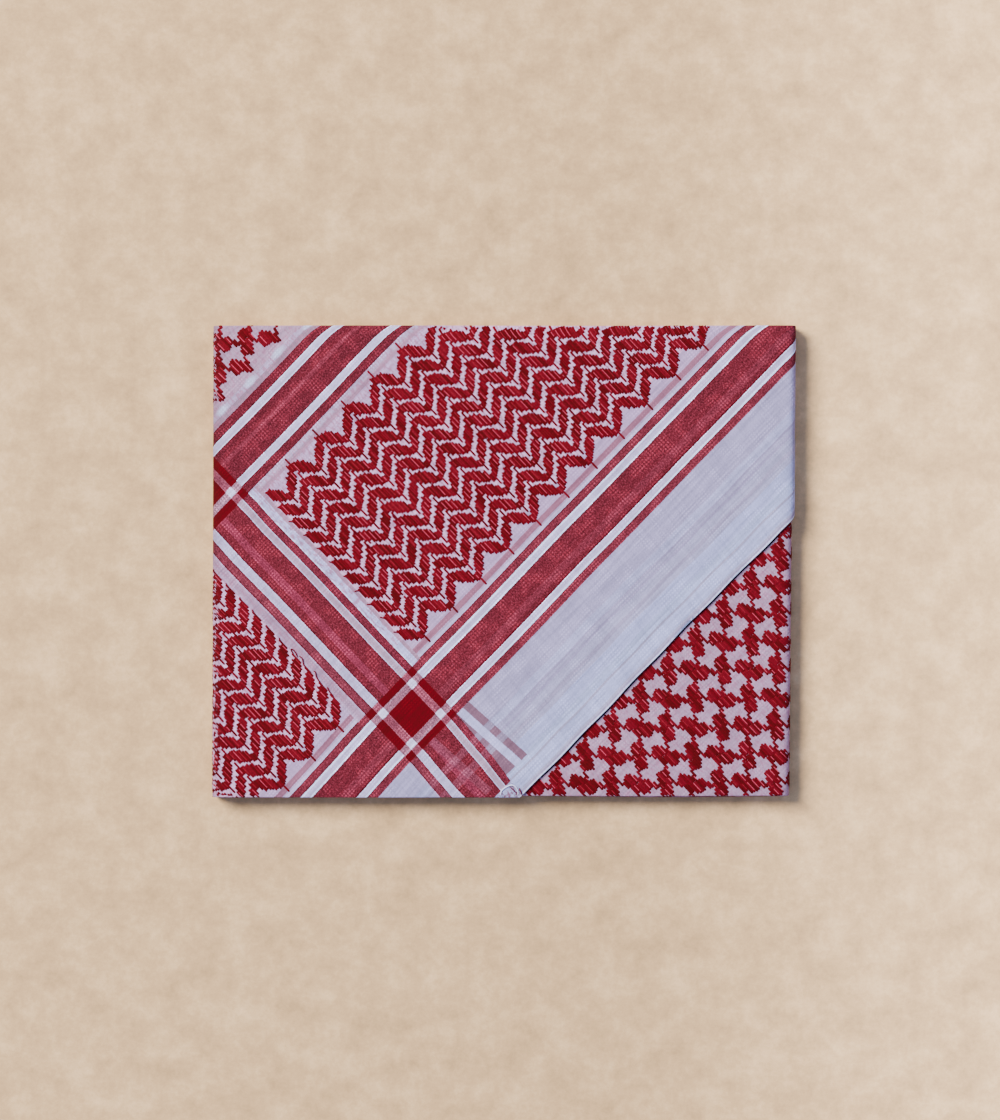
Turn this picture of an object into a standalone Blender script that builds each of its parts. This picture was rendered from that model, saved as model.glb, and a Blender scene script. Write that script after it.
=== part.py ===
"""Folded keffiyeh headscarf, lying flat.

The cloth is one woven square, folded on its diagonal to a triangle, folded again along the
long side into a strip, and rolled up in flat turns into a packet.  The strip's free end lies on
top, so the square's hemmed edge crosses the packet at a slant and the field of the turn below
shows beside it.  Lengths are in millimetres until they reach a mesh, which is in metres.

Frame: +X along the packet, +Y across it, +Z up.  The packet rests on Z = 0 about the origin.
"""
import math

import bmesh
import bpy

MM = 0.001

# Driving sizes of the packet, in millimetres
LENGTH = 321.0
WIDTH = 259.3
HEIGHT = 14.0
WALL = 1.2                # two plies of cotton cloth
SEAM = 0.3                # clearance between stretches of cloth
SLANT_SEAM = SEAM * math.sqrt(2)
RIM_ROUNDING = 0.35       # share of the wall
LAYER = WALL + SEAM

HALF_LENGTH = LENGTH / 2
HALF_WIDTH = WIDTH / 2
FLAP_TOP = HEIGHT
FIELD_TOP = FLAP_TOP - LAYER
CORE_TOP = FIELD_TOP - LAYER
CORE_BOTTOM = LAYER
CORE_MIDDLE = (CORE_TOP + CORE_BOTTOM) / 2

# The turns of the roll at the packet's two ends
LEFT_RADIUS = HEIGHT / 2
LEFT_TURN_X = -HALF_LENGTH + LEFT_RADIUS
TIP_RADIUS = HEIGHT / 2
TIP_TURN_X = HALF_LENGTH - TIP_RADIUS
TUCK_START_Y = 26.0       # from here the free end's tip passes under the packet
TUCK_END_Y = 36.0
RIGHT_LEAN = 0.0095       # the right end draws in towards the front, mm per mm
LEFT_LEAN = 0.0023

# The hemmed edge of the free end, seen from above
HEM_FRONT_X = 10.0
HEM_FRONT_Y = -129.5
HEM_SLOPE = 0.976         # X gained for each millimetre of Y
HEM_WAVE = 0.5
HEM_WAVE_SPAN = 21.0      # Y per radian of its wave, which dies out at the long edges
HEM_STEADY = 20.0
HEM_WIDTH = 11.0
HEM_WALL = 1.5
HEM_RISE = HEM_WALL - WALL

# How the pressed packet gives way: its long edges sink and its top lies a little uneven
SINK_REACH = 12.0
SINK_DEPTH = 1.0
RIPPLES = (
    # height  X per radian  Y per radian
    (0.20,     31.0,         58.0),
    (0.12,    -71.0,         27.0),
)
RIPPLE_FADE = 40.0        # they die out towards the packet's two ends
RIGID_BELOW = 3.0         # nothing moves below this height, so the underside stays flat

# Resolution of the meshes
ARC_STEPS = 10
TOP_STEPS = 14
TIP_STEP = 8.0
SHARP = math.radians(50)
HEM_STEPS = 3
EDGE_STATIONS = (0.0, 2.0, 5.0, 8.5, 12.5)
MIDDLE_STATIONS = 12
LEAST_ROW = 1.5

# The folded edges of the turns, from the outside in: how far each one lies back from the
# packet's outline, how much that varies along it, and the waves in that along the packet.
FOLD_EDGES = {
    #             lies back  varies  waves  phase
    "flap":        (0.0,     0.25,   1.3,   0.4),
    "field":       (0.7,     0.35,   1.7,   2.1),
    "outer turn":  (0.5,     0.55,   2.1,   0.9),
    "second turn": (1.0,     0.60,   1.6,   3.3),
    "inner turn":  (0.7,     0.50,   2.6,   5.0),
    "underside":   (0.4,     0.30,   1.1,   1.5),
}
CORE_TURNS = ("outer turn", "second turn", "inner turn")
END_SHARE = 0.1           # stretch of the core that rises to clear the tip, at its right end
GROOVE_DEPTH = 1.7
# Across one folded edge: the share of its thickness, and the share of the groove's depth there
FOLD_PROFILE = ((0.0, 1.0), (0.12, 0.45), (0.32, 0.1), (0.5, 0.0), (0.68, 0.1), (0.88, 0.45))


def smooth_step(value, start, end):
    share = min(max((value - start) / (end - start), 0.0), 1.0)
    return share * share * (3 - 2 * share)


def between(start, end, share):
    return start + (end - start) * share


def fold_inset(turn, x):
    """How far a turn's folded edge lies back from the packet's outline at x."""
    lies_back, varies, waves, phase = FOLD_EDGES[turn]
    return lies_back + varies * (1 + math.sin(waves * math.tau * x / LENGTH + phase)) / 2


def settle(x, y, z):
    """Move a point of the ideal packet to where the pressed cloth lies, and change to metres."""
    edge = max(abs(y) - (HALF_WIDTH - SINK_REACH), 0.0) / SINK_REACH
    fade = 1 - smooth_step(abs(x), HALF_LENGTH - RIPPLE_FADE, HALF_LENGTH)
    drop = SINK_DEPTH * edge * edge
    for height, x_span, y_span in RIPPLES:
        drop += height * fade * (1 - math.sin(x / x_span + y / y_span))
    give = min(max((z - RIGID_BELOW) / (CORE_TOP - RIGID_BELOW), 0.0), 1.0)
    right_share = (x + HALF_LENGTH) / LENGTH
    lean = RIGHT_LEAN * right_share * (y - HALF_WIDTH)
    lean += LEFT_LEAN * (1 - right_share) * (y + HALF_WIDTH)
    return ((x + lean) * MM, y * MM, (z - drop * give) * MM)


def stations(start, end):
    """Values of y for the rows of a sheet, closer together near the packet's long edges."""
    values = {start, end, TUCK_START_Y, (TUCK_START_Y + TUCK_END_Y) / 2, TUCK_END_Y}
    for offset in EDGE_STATIONS:
        values |= {HALF_WIDTH - offset, offset - HALF_WIDTH}
    inner = HALF_WIDTH - EDGE_STATIONS[-1]
    for step in range(MIDDLE_STATIONS + 1):
        values.add(between(-inner, inner, step / MIDDLE_STATIONS))
    inside = sorted(value for value in values if start <= value <= end)
    kept = [inside[0]]
    for value in inside[1:-1]:
        if value - kept[-1] > LEAST_ROW and inside[-1] - value > LEAST_ROW:
            kept.append(value)
    return kept + [inside[-1]]


def hem_x(y):
    """X of the free end's hemmed edge, on the top of the packet."""
    wave = HEM_WAVE * math.sin(y / HEM_WAVE_SPAN) * smooth_step(HALF_WIDTH - abs(y), 0.0, HEM_STEADY)
    return HEM_FRONT_X + HEM_SLOPE * (y - HEM_FRONT_Y) + wave


HEM_X_WIDTH = HEM_WIDTH * math.hypot(1, HEM_SLOPE)
TIP_START_Y = HEM_FRONT_Y + (TIP_TURN_X - HEM_FRONT_X) / HEM_SLOPE
HALF_TURN = math.pi * TIP_RADIUS


def tip_edge_x(y):
    """X of the tip's hemmed edge, where it lies under the packet."""
    return TIP_TURN_X - (HEM_SLOPE * (y - TIP_START_Y) - HALF_TURN)


def tuck(y):
    """How far the tip has passed under the packet: 0 in front of it, 1 behind."""
    return smooth_step(y, TUCK_START_Y, TUCK_END_Y)


def right_turn(y, inward):
    """Centre and radius of the right-hand turn, a distance inside the tip's outer face."""
    radius = (FLAP_TOP + LAYER * (1 - tuck(y))) / 2
    centre_z = FLAP_TOP - radius
    return HALF_LENGTH - radius, centre_z, radius - inward


def right_seam_x(y):
    """X where the pieces on the top and the underside stop, just short of the right turn."""
    return right_turn(y, 0.0)[0] - SEAM


def make_material(name, colour, roughness=0.9):
    material = bpy.data.materials.new(name)
    material.use_nodes = True
    shader = material.node_tree.nodes["Principled BSDF"]
    shader.inputs["Base Color"].default_value = (*colour, 1)
    shader.inputs["Roughness"].default_value = roughness
    shader.inputs["Metallic"].default_value = 0.0
    material.diffuse_color = (*colour, 1)
    return material


def make_object(name, bm, material, collection):
    mesh = bpy.data.meshes.new(name)
    bm.to_mesh(mesh)
    bm.free()
    mesh.materials.append(material)
    mesh.shade_smooth()
    mesh.set_sharp_from_angle(angle=SHARP)
    piece = bpy.data.objects.new(name, mesh)
    collection.objects.link(piece)
    return piece


def thicken(piece, wall):
    """Give a sheet its wall, on its inner side, and round the wall's rim like folded cloth."""
    solidify = piece.modifiers.new("wall", "SOLIDIFY")
    solidify.thickness = wall * MM
    solidify.offset = -1
    solidify.use_even_offset = True
    solidify.use_quality_normals = True
    bevel = piece.modifiers.new("rounded rim", "BEVEL")
    bevel.width = RIM_ROUNDING * WALL * MM
    bevel.segments = 2
    bevel.limit_method = "ANGLE"
    bevel.angle_limit = SHARP
    return piece


def sheet(name, rows, wall, material, collection):
    """A cloth wall through rows of points.

    A row runs right to left over the top of the packet and left to right under it, and the rows
    follow each other towards +Y, so that the faces look out.
    """
    bm = bmesh.new()
    grid = [[bm.verts.new(point) for point in row] for row in rows]
    for near, far in zip(grid, grid[1:]):
        for index in range(len(near) - 1):
            bm.faces.new((near[index], far[index], far[index + 1], near[index + 1]))
    return thicken(make_object(name, bm, material, collection), wall)


def inset_y(turn, x, y):
    return y * (1 - fold_inset(turn, x) / HALF_WIDTH)


def make_outer_flap(material, collection):
    """The strip's free end: over the top and round the left end down to the underside."""
    rows = []
    for y in stations(-HALF_WIDTH, HALF_WIDTH):
        right = min(hem_x(y) - HEM_X_WIDTH, right_seam_x(y))
        row = []
        for step in range(TOP_STEPS):
            x = between(right, LEFT_TURN_X, step / TOP_STEPS)
            row.append(settle(x, inset_y("flap", x, y), FLAP_TOP))
        for step in range(ARC_STEPS + 1):
            angle = math.pi * step / ARC_STEPS
            x = LEFT_TURN_X - LEFT_RADIUS * math.sin(angle)
            z = LEFT_RADIUS * (1 + math.cos(angle))
            row.append(settle(x, inset_y("flap", x, y), z))
        rows.append(row)
    return sheet("outer_flap", rows, WALL, material, collection)


def make_flap_hem(material, collection):
    """The turned and stitched hem along the free end, thicker than the flap it edges."""
    last_y = TIP_START_Y + (HEM_X_WIDTH - LAYER) / HEM_SLOPE
    rows = []
    for y in stations(-HALF_WIDTH, last_y):
        right = min(hem_x(y), right_seam_x(y))
        left = hem_x(y) - HEM_X_WIDTH + SLANT_SEAM
        row = []
        for step in range(HEM_STEPS + 1):
            x = between(right, left, step / HEM_STEPS)
            row.append(settle(x, inset_y("flap", x, y), FLAP_TOP + HEM_RISE))
        rows.append(row)
    return sheet("flap_hem", rows, HEM_WALL, material, collection)


def tip_stops():
    """Distances round the tip from the top of the turn, one for each column of its sheet."""
    arc = [HALF_TURN * step / ARC_STEPS for step in range(ARC_STEPS + 1)]
    longest = HEM_SLOPE * (HALF_WIDTH - TIP_START_Y)
    flat_steps = round((longest - HALF_TURN) / TIP_STEP)
    flat = [between(HALF_TURN, longest, step / flat_steps) for step in range(1, flat_steps + 1)]
    return arc + flat


def tip_point(distance, y):
    """Point of the tip's outer face, a distance round from the top of the right-hand turn."""
    centre_x, centre_z, radius = right_turn(y, 0.0)
    if distance <= HALF_TURN:
        angle = distance / TIP_RADIUS
        x = centre_x + radius * math.sin(angle)
        z = centre_z + radius * math.cos(angle)
    else:
        x = centre_x - (distance - HALF_TURN)
        z = centre_z - radius
    return settle(x, inset_y("flap", x, y), z)


def make_flap_tip(material, collection):
    """The free end's pointed tip: down over the right end and flat under the packet.

    Its rows of vertices are set where the slanting hem meets each column, so the hem runs
    straight through the corners of a triangular grid.
    """
    stops = tip_stops()
    bm = bmesh.new()
    grid = []
    for row, longest in enumerate(stops):
        y = TIP_START_Y + longest / HEM_SLOPE
        grid.append([bm.verts.new(tip_point(stop, y)) for stop in stops[:row + 1]])
    for near, far in zip(grid, grid[1:]):
        for index in range(len(near) - 1):
            bm.faces.new((near[index], near[index + 1], far[index + 1], far[index]))
        bm.faces.new((near[-1], far[-1], far[-2]))
    return thicken(make_object("flap_tip", bm, material, collection), WALL)


def make_field_stretch(material, collection):
    """The turn below the free end: up over the right end and across under the flap."""
    rows = []
    for y in stations(-HALF_WIDTH, HALF_WIDTH):
        centre_x, centre_z, radius = right_turn(y, LAYER)
        row = []
        for step in range(ARC_STEPS):
            angle = math.pi * (1 - step / ARC_STEPS)
            x = centre_x + radius * math.sin(angle)
            z = centre_z + radius * math.cos(angle)
            row.append(settle(x, inset_y("field", x, y), z))
        for step in range(TOP_STEPS + 1):
            x = between(centre_x, LEFT_TURN_X + LAYER, step / TOP_STEPS)
            row.append(settle(x, inset_y("field", x, y), FIELD_TOP))
        rows.append(row)
    return sheet("field_stretch", rows, WALL, material, collection)


def make_underside_stretch(material, collection):
    """The turn that the packet rests on, up to the tip that lies flush beside it."""
    turn_y = TIP_START_Y + HALF_TURN / HEM_SLOPE
    rows = []
    for y in stations(-HALF_WIDTH, HALF_WIDTH):
        right = right_seam_x(y)
        if y > turn_y:
            right = tip_edge_x(y) - SLANT_SEAM
        row = []
        for step in range(TOP_STEPS + 1):
            x = between(LEFT_TURN_X + SEAM, right, step / TOP_STEPS)
            row.append(settle(x, inset_y("underside", x, y), 0.0))
        rows.append(row)
    return sheet("underside_stretch", rows, WALL, material, collection)


def core_ring(y, shrink):
    """The hidden turns' outline at y, shrunk towards its middle line by a share of its height.

    Returns x and z for each point, going right to left over the top and back underneath.
    """
    centre_x, centre_z, radius = right_turn(y, 2 * LAYER)
    left_radius = (CORE_TOP - CORE_BOTTOM) / 2
    low_end = centre_z - radius
    keep = 1 - shrink
    ring = []
    for step in range(TOP_STEPS):
        share = step / TOP_STEPS
        middle = between(centre_z, CORE_MIDDLE, smooth_step(share, 0.0, END_SHARE))
        x = between(centre_x, LEFT_TURN_X, share)
        ring.append((x, middle + (CORE_TOP - middle) * keep))
    for step in range(ARC_STEPS):
        angle = math.pi * step / ARC_STEPS
        x = LEFT_TURN_X - left_radius * keep * math.sin(angle)
        ring.append((x, CORE_MIDDLE + left_radius * keep * math.cos(angle)))
    for step in range(TOP_STEPS):
        share = step / TOP_STEPS
        bottom = between(CORE_BOTTOM, low_end, smooth_step(share, 1 - END_SHARE, 1.0))
        middle = (CORE_TOP + bottom) / 2
        x = between(LEFT_TURN_X, centre_x, share)
        ring.append((x, middle + (bottom - middle) * keep))
    for step in range(ARC_STEPS):
        angle = math.pi * (1 - step / ARC_STEPS)
        x = centre_x + radius * keep * math.sin(angle)
        ring.append((x, centre_z + radius * keep * math.cos(angle)))
    return ring


def close_slit(bm, ring):
    """Close the narrow slit left inside a ring, from each point to the one across from it."""
    across = 2 * TOP_STEPS + ARC_STEPS
    for index in range(-ARC_STEPS // 2, TOP_STEPS + ARC_STEPS // 2):
        corners = (index, index + 1, across - index - 1, across - index)
        verts = dict.fromkeys(ring[corner % len(ring)] for corner in corners)
        bm.faces.new(tuple(verts))


def make_hidden_folds(material, collection):
    """The turns inside the packet, as one solid whose long sides show their folded edges."""
    edge_y = HALF_WIDTH - GROOVE_DEPTH - fold_inset("second turn", 0.0)
    loops = []

    def add_loop(y, shrink, side=0, turn=None, groove=0.0):
        loop = []
        for x, z in core_ring(y, shrink):
            point_y = y
            if side:
                point_y = side * (HALF_WIDTH - fold_inset(turn, x) - groove)
            loop.append(settle(x, point_y, z))
        loops.append(loop)

    def add_long_side(side, y):
        profile = []
        for number, turn in enumerate(CORE_TURNS):
            for share, depth in FOLD_PROFILE:
                shrink = (number + share) / len(CORE_TURNS)
                profile.append((shrink, turn, depth * GROOVE_DEPTH))
        ordered = profile if side > 0 else profile[::-1]
        for shrink, turn, groove in ordered:
            add_loop(y, shrink, side, turn, groove)

    add_long_side(-1, -edge_y)
    for y in stations(-edge_y, edge_y)[1:-1]:
        add_loop(y, 0.0)
    add_long_side(1, edge_y)

    bm = bmesh.new()
    rings = [[bm.verts.new(point) for point in loop] for loop in loops]
    for near, far in zip(rings, rings[1:]):
        for index, vert in enumerate(near):
            following = (index + 1) % len(near)
            bm.faces.new((vert, far[index], far[following], near[following]))
    close_slit(bm, rings[0])
    close_slit(bm, rings[-1])
    bmesh.ops.recalc_face_normals(bm, faces=bm.faces)
    return make_object("hidden_folds", bm, material, collection)


def main():
    for leftover in list(bpy.data.objects):
        bpy.data.objects.remove(leftover, do_unlink=True)
    collection = bpy.data.collections.new("keffiyeh_headscarf")
    bpy.context.scene.collection.children.link(collection)
    banded = make_material("banded red and white cotton", (0.60, 0.30, 0.34))
    plain = make_material("white cotton margin", (0.62, 0.62, 0.68))
    field = make_material("red checked cotton field", (0.50, 0.16, 0.19))
    folds = make_material("folded cotton edges", (0.58, 0.42, 0.47))
    make_outer_flap(banded, collection)
    make_flap_hem(plain, collection)
    make_flap_tip(plain, collection)
    make_field_stretch(field, collection)
    make_underside_stretch(field, collection)
    make_hidden_folds(folds, collection)


main()
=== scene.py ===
import functools
import math

import bmesh
import bpy
import numpy as np
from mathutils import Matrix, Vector


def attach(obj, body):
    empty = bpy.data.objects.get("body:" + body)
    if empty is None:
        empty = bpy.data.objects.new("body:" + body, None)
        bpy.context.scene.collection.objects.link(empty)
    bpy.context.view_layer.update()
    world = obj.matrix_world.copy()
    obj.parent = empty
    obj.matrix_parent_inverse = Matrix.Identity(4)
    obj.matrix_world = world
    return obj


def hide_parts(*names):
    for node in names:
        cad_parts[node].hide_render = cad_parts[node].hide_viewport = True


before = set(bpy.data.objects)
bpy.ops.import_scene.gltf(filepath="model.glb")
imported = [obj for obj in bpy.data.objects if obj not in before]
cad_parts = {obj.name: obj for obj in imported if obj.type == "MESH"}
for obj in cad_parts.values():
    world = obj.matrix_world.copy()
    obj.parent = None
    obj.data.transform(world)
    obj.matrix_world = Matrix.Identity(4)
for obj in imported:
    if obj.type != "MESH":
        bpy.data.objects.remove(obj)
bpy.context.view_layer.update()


# ---------------------------------------------------------------------------------------------
# The table top and the light.  A plain beige surface, one soft lamp high at the upper left and a
# dim fill from the whole room, so that the packet throws a short soft shadow to the lower right.
# ---------------------------------------------------------------------------------------------
MM = 0.001
VIEW_WIDTH = 550.0
VIEW_HEIGHT = VIEW_WIDTH * 1120 / 1000
VIEW_CENTRE = (-2.3, 0.8)
CAMERA_HEIGHT = 2000.0
MID_PACKET = 7.0
FLOOR_SIDE = 6000.0
LAMP_DIRECTION = Vector((-0.93, 0.62, 1.0))
LAMP_DISTANCE = 5200.0


def linear(hex_colour):
    """An sRGB hex colour as linear red, green, blue and alpha."""
    parts = [int(hex_colour[start:start + 2], 16) / 255 for start in (1, 3, 5)]
    toned = [part / 12.92 if part <= 0.04045 else ((part + 0.055) / 1.055) ** 2.4 for part in parts]
    return (*toned, 1.0)


def add_node(tree, kind, *inputs, **settings):
    """Add one node, named by its kind and, where it has one, its operation or type of data.

    Its inputs are filled in order, or by name among the settings.  Each may be given a value, a
    hex colour, a socket, or a node whose result it takes.
    """
    kind, _, choice = kind.partition(" ")
    node = tree.nodes.new("ShaderNode" + kind)
    if choice:
        setattr(node, "data_type" if kind == "Mix" else "operation", choice)
    sockets = [socket for socket in node.inputs if socket.enabled]
    for name, value in [*zip(sockets, inputs), *settings.items()]:
        if name == "stops":
            elements = node.color_ramp.elements
            while len(elements) < len(value):
                elements.new(1.0)
            for element, (position, hex_colour) in zip(elements, value):
                element.position = position
                element.color = linear(hex_colour)
        elif name == "steps":
            node.color_ramp.interpolation = "CONSTANT"
        elif isinstance(name, str) and name not in node.inputs:
            setattr(node, name, value)
        else:
            socket = node.inputs[name] if isinstance(name, str) else name
            if isinstance(value, bpy.types.Node):
                value = next(out for out in value.outputs if out.enabled)
            if isinstance(value, bpy.types.NodeSocket):
                tree.links.new(value, socket)
            else:
                socket.default_value = linear(value) if isinstance(value, str) else value
    return node


def new_material(name, roughness):
    """A matt material, with its nodes and its shader."""
    material = bpy.data.materials.new(name)
    material.use_nodes = True
    shader = material.node_tree.nodes["Principled BSDF"]
    shader.inputs["Roughness"].default_value = roughness
    shader.inputs["Specular IOR Level"].default_value = 0.1
    return material, material.node_tree, shader


def add_object(name, data):
    placed = bpy.data.objects.new(name, data)
    bpy.context.collection.objects.link(placed)
    return placed


# Painted plaster board: matt, faintly clouded by the trowel, and paler on its right.
floor_finish, tree, shader = new_material("painted plaster table top", 0.95)
place = add_node(tree, "TexCoord").outputs["Object"]
clouds = add_node(tree, "TexNoise", place, Scale=1 / (22 * MM), Detail=8.0, Roughness=0.78)
clouded = add_node(tree, "ValToRGB", clouds,
                   stops=[(0.32, "#B8946B"), (0.5, "#D2AA7B"), (0.68, "#ECC391")])
sideways = add_node(tree, "SeparateXYZ", place).outputs["X"]
paler = add_node(tree, "MapRange", sideways, 40 * MM, 300 * MM, 1.0, 1.6,
                 interpolation_type="SMOOTHSTEP")
toned = add_node(tree, "VectorMath SCALE", clouded, paler)
tree.links.new(toned.outputs["Vector"], shader.inputs["Base Color"])

bm = bmesh.new()
bmesh.ops.create_grid(bm, x_segments=1, y_segments=1, size=FLOOR_SIDE / 2 * MM)
floor_mesh = bpy.data.meshes.new("table_top")
bm.to_mesh(floor_mesh)
bm.free()
floor_mesh.materials.append(floor_finish)
add_object("table_top", floor_mesh)

lamp_data = bpy.data.lights.new("window_lamp", "AREA")
lamp_data.shape = "DISK"
lamp_data.size = 2.6
lamp_data.energy = 785.0
lamp_data.color = (1.0, 0.965, 0.872)
lamp = add_object("window_lamp", lamp_data)
lamp.location = LAMP_DIRECTION.normalized() * LAMP_DISTANCE * MM
lamp.rotation_euler = LAMP_DIRECTION.to_track_quat("Z", "Y").to_euler()

world = bpy.data.worlds.new("room")
world.use_nodes = True
sky = world.node_tree.nodes["Background"]
sky.inputs["Color"].default_value = linear("#B4CAFF")
sky.inputs["Strength"].default_value = 0.74
bpy.context.scene.world = world

camera_data = bpy.data.cameras.new("camera")
camera_data.sensor_width = 36.0
camera_data.lens = camera_data.sensor_width * (CAMERA_HEIGHT - MID_PACKET) / VIEW_HEIGHT
camera = add_object("camera", camera_data)
camera.location = (VIEW_CENTRE[0] * MM, VIEW_CENTRE[1] * MM, CAMERA_HEIGHT * MM)
bpy.context.scene.camera = camera


# ---------------------------------------------------------------------------------------------
# The free end of the folded strip: one thin sheet of jacquard cotton, its cut edge turned under
# and stitched, its long edges folded, then rolled round both ends of the packet.  It is cut flat
# in its own millimetres first, and rolled up last, as the real cloth is.
# ---------------------------------------------------------------------------------------------
LENGTH = 321.0
WIDTH = 259.3
HEIGHT = 14.0
LAYER = 1.5
HALF_LENGTH = LENGTH / 2
HALF_WIDTH = WIDTH / 2
PLY = 0.4
FOLD_RADIUS = 0.5
UNDERSIDE_LIFT = 0.35
LEFT_RADIUS = HEIGHT / 2
LEFT_TURN_X = -HALF_LENGTH + LEFT_RADIUS
LEFT_SEAM_ALONG = LEFT_TURN_X - math.pi * LEFT_RADIUS
TUCK_START_Y = 26.0
TUCK_END_Y = 36.0
RIGHT_LEAN = 0.0095
LEFT_LEAN = 0.0023
HEM_FRONT_X = 10.0
HEM_FRONT_Y = -129.5
HEM_SLOPE = 0.976
HEM_WAVE = 0.5
HEM_WAVE_SPAN = 21.0
HEM_RIPPLE = 0.32
HEM_RIPPLE_SPAN = 4.6
HEM_STEADY = 20.0
SINK_REACH = 12.0
SINK_DEPTH = 1.0
CORE_TOP = HEIGHT - 2 * LAYER
RIGID_BELOW = 3.0
SQUARENESS = 3.6
RIPPLES = (
    # height  X per radian  Y per radian
    (0.20,     31.0,         58.0),
    (0.12,    -71.0,         27.0),
)
RIPPLE_FADE = 40.0
FOLD_EDGES = {
    #             lies back  varies  waves  phase
    "flap":        (0.0,     0.25,   1.3,   0.4),
    "field":       (0.7,     0.35,   1.7,   2.1),
    "outer turn":  (0.5,     0.55,   2.1,   0.9),
    "second turn": (1.0,     0.60,   1.6,   3.3),
    "inner turn":  (0.7,     0.50,   2.6,   5.0),
    "underside":   (0.4,     0.30,   1.1,   1.5),
}


def smooth_step(value, start, end):
    share = np.clip((value - start) / (end - start), 0.0, 1.0)
    return share * share * (3 - 2 * share)


def lean(x, y):
    """How far the packet's ends draw in at a point, from its not quite square corners."""
    share = (x + HALF_LENGTH) / LENGTH
    return RIGHT_LEAN * share * (y - HALF_WIDTH) + LEFT_LEAN * (1 - share) * (y + HALF_WIDTH)


def settle(x, y, z):
    """Where the pressed cloth lies: its long edges sink and its top is a little uneven."""
    edge = np.maximum(np.abs(y) - (HALF_WIDTH - SINK_REACH), 0.0) / SINK_REACH
    fade = 1 - smooth_step(np.abs(x), HALF_LENGTH - RIPPLE_FADE, HALF_LENGTH)
    drop = SINK_DEPTH * edge * edge
    for height, x_span, y_span in RIPPLES:
        drop = drop + height * fade * (1 - np.sin(x / x_span + y / y_span))
    give = np.clip((z - RIGID_BELOW) / (CORE_TOP - RIGID_BELOW), 0.0, 1.0)
    return x + lean(x, y), y, z - drop * give


def right_turn(y, inward):
    """Centre and radius of the turn at the packet's right end, inside its outermost face."""
    radius = (HEIGHT + LAYER * (1 - smooth_step(y, TUCK_START_Y, TUCK_END_Y))) / 2
    return HALF_LENGTH - radius, HEIGHT - radius, radius - inward


def fold_inset(turn, x):
    lies_back, varies, waves, phase = FOLD_EDGES[turn]
    return lies_back + varies * (1 + np.sin(waves * math.tau * x / LENGTH + phase)) / 2


def fold_over(distance, height, radius):
    """Turn a sheet over an edge: beyond distance 0 it goes half round and back underneath."""
    angle = np.clip(distance / radius, 0.0, math.pi)
    beyond = np.maximum(distance - math.pi * radius, 0.0)
    reach = radius + height
    moved = np.minimum(distance, 0.0) + reach * np.sin(angle) - beyond
    return moved, reach * np.cos(angle) - radius


def turn_outline(angle):
    """How far out and up a packet's end stands at an angle: pressed squarer than half a round.

    Equal steps of the angle are equal steps along the cloth.
    """
    corner = np.linspace(0.0, math.pi, 361)
    out = np.sin(corner) ** (2 / SQUARENESS)
    up = np.sign(np.cos(corner)) * np.abs(np.cos(corner)) ** (2 / SQUARENESS)
    run = np.append(0.0, np.cumsum(np.hypot(np.diff(out), np.diff(up))))
    run = run / run[-1] * math.pi
    return np.interp(angle, run, out), np.interp(angle, run, up)


def roll_up(turn, along, across, height):
    """Place points of a flat sheet on the packet, in metres.

    along and across are millimetres on the sheet, measured as X and Y on top of the packet, and
    height is how far a point stands off the sheet's outer face.
    """
    inward = LAYER if turn == "field" else 0.0
    centre_x, centre_z, radius = right_turn(across, inward)
    past_right = np.maximum(along - centre_x, 0.0)
    past_left = np.maximum(LEFT_TURN_X - along, 0.0)
    right_angle = np.minimum(past_right / radius, math.pi)
    left_angle = np.minimum(past_left / LEFT_RADIUS, math.pi)
    x = np.clip(along, LEFT_TURN_X, centre_x)
    x = x - np.maximum(past_right - math.pi * radius, 0.0)
    x = x + np.maximum(past_left - math.pi * LEFT_RADIUS, 0.0)
    edge = HALF_WIDTH - fold_inset(turn, x) - FOLD_RADIUS
    moved, height = fold_over(np.abs(across) - edge, height, FOLD_RADIUS)
    y = np.sign(across) * (edge + moved)
    right_out, right_up = turn_outline(right_angle)
    left_out, left_up = turn_outline(left_angle)
    x = x + (radius + height) * right_out - (LEFT_RADIUS + height) * left_out
    z = HEIGHT - inward + height
    z = np.where(past_right > 0, centre_z + (radius + height) * right_up, z)
    z = np.where(past_left > 0, LEFT_RADIUS + (LEFT_RADIUS + height) * left_up, z)
    z = z + UNDERSIDE_LIFT * smooth_step(right_angle + left_angle, math.pi / 2, math.pi)
    x, y, z = settle(x, y, z)
    return np.stack([x, y, np.maximum(z, 0.0)], axis=-1) * MM


WEAVE_ORIGIN = (-50.74, -82.8)
WEAVE_ANGLE = math.radians(46.5)
BAND_SLOPE = 0.0085
BAND_LEVEL = 1.375
BAND_MIDDLE = 60.5
LEAN_CURVE = (-1.152, -0.07096, -7.89e-5)
LEAN_WAVES = (
    (-140, -0.2), (-128, -0.6), (-116, -0.5), (-104, -0.25), (-92, -0.1), (-44, 0.0),
    (-32, 0.15), (-12, 0.5), (11, 0.9), (22, 0.93), (28, 0.65), (34, 0.4), (46, 0.1), (58, 0.0),
)
END_GIVE = 0.8
BACK_DRAG = 2.3
BACK_DRAG_WIDTH = 7.5
PINCH_FROM = 48.0
PINCH_MIDDLE = -5.5
PINCH_SPAN = 12.0
PINCH = 0.07
PRESS_WAVES = (
    (-20, -0.25), (10, -0.15), (25, -0.15), (40, 0.0), (55, 0.15), (70, 0.18), (85, 0.08),
    (100, -0.05), (115, -0.25), (130, -0.3), (145, -0.08), (205, -0.1), (220, 0.0), (235, 0.1),
)
CORNER_DROOP = ((-80, 1.8), (-65, 1.5), (-50, 1.05), (-35, 0.4), (-20, 0.0))
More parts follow.
